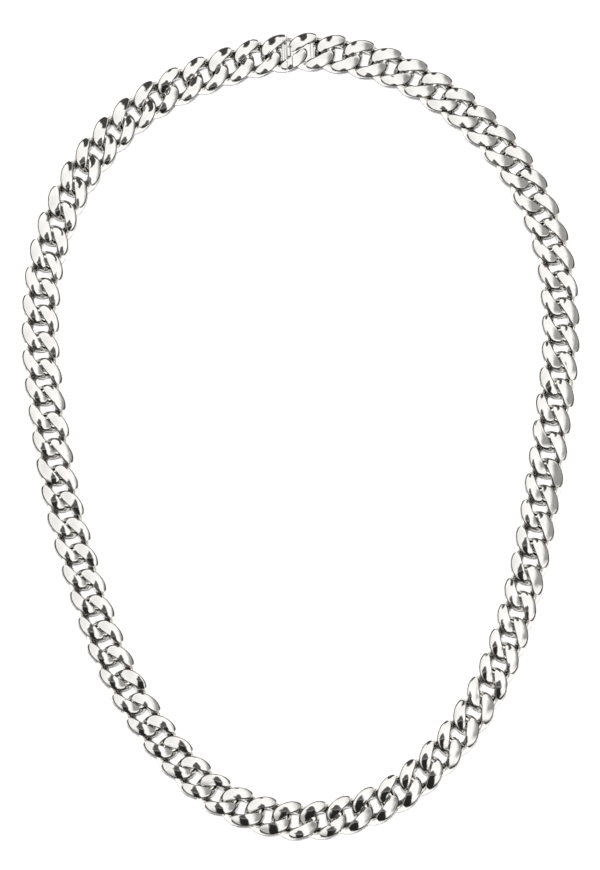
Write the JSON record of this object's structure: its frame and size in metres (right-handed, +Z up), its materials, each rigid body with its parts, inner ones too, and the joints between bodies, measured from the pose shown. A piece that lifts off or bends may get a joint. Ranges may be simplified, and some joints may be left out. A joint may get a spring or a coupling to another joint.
{
  "type": "flat chain necklace",
  "caption": "Closed curb-chain necklace of flat polished silver links, fastened by a box clasp shaped like two of the links, lying flat in its worn loop.",
  "frame": {"origin": "on the surface that the necklace lies on, below the middle of the box round it", "axes": "+Z up, +Y from the middle of the loop to the clasp, +X to the right as seen from above"},
  "size_m": [0.134, 0.197, 0.0033],
  "materials": {
    "polished_silver": "mirror-polished silver"
  },
  "bodies": {
    "root": {"chain_right": "polished_silver", "chain_left": "polished_silver", "clasp_box": "polished_silver", "clasp_tongue": "polished_silver"}
  },
  "joints": []
}
